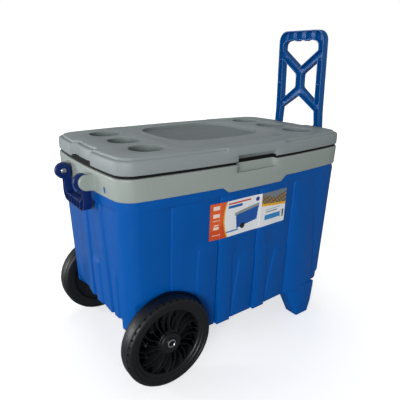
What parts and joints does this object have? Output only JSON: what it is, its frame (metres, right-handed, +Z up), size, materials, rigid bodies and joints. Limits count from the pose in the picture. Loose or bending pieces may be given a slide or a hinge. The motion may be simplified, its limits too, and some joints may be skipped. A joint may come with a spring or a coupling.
{
  "type": "wheeled cooler",
  "caption": "Insulated hard cooler with a hinged lid, two wheels and two legs, a tall swing-up tow handle at one end and a bail handle at the other.",
  "frame": {"origin": "on the ground under the middle of the cooler's overall box", "axes": "+X towards the tow handle and the legs, -Y towards the front with the label, +Z up"},
  "size_m": [0.721, 0.405, 0.752],
  "materials": {
    "blue_plastic": "smooth royal blue moulded polypropylene",
    "navy_plastic": "deep blue moulded polypropylene",
    "blue_handle_plastic": "smooth blue moulded polypropylene",
    "grey_plastic": "fine-grained satin grey moulded polypropylene",
    "white_plastic": "smooth white food-grade polypropylene",
    "foam": "closed-cell insulating foam",
    "sticker": "printed glossy film sticker",
    "black_plastic": "black moulded plastic",
    "seal_rubber": "soft black sealing strip",
    "steel": "zinc-plated steel"
  },
  "bodies": {
    "body": {"body_shell": "blue_plastic", "inner_liner": "white_plastic", "foam_core": "foam", "rim_collar": "grey_plastic", "front_label": "sticker", "axle_tube": "steel", "axle_ferrules": "steel", "axle_washers": "steel", "hinge_pins": "steel", "bail_screws": "steel", "bail_washers": "steel", "tow_screws": "steel", "tow_washers": "steel"},
    "lid": {"lid_shell": "grey_plastic", "lid_inner_panel": "white_plastic", "lid_foam": "foam", "lid_seal": "seal_rubber"},
    "bail": {"bail_handle": "navy_plastic"},
    "tow": {"tow_handle": "blue_handle_plastic"},
    "front_wheel": {"wheel_front": "black_plastic"},
    "rear_wheel": {"wheel_rear": "black_plastic"}
  },
  "joints": [
    {"name": "lid_hinge", "type": "hinge", "parent": "body", "child": "lid", "pos_m": [0, 0.197, 0.467], "axis": [-1, 0, 0], "range_deg": [0, 105]},
    {"name": "bail_swing", "type": "hinge", "parent": "body", "child": "bail", "pos_m": [-0.343, 0, 0.4405], "axis": [0, 1, 0], "range_deg": [0, 170]},
    {"name": "tow_swing", "type": "hinge", "parent": "body", "child": "tow", "pos_m": [0.343, 0, 0.4405], "axis": [0, 1, 0], "range_deg": [0, 180]},
    {"name": "front_wheel_spin", "type": "hinge", "parent": "body", "child": "front_wheel", "pos_m": [-0.2294, 0, 0.1027], "axis": [0, 1, 0], "continuous": true},
    {"name": "rear_wheel_spin", "type": "hinge", "parent": "body", "child": "rear_wheel", "pos_m": [-0.2294, 0, 0.1027], "axis": [0, 1, 0], "continuous": true}
  ]
}
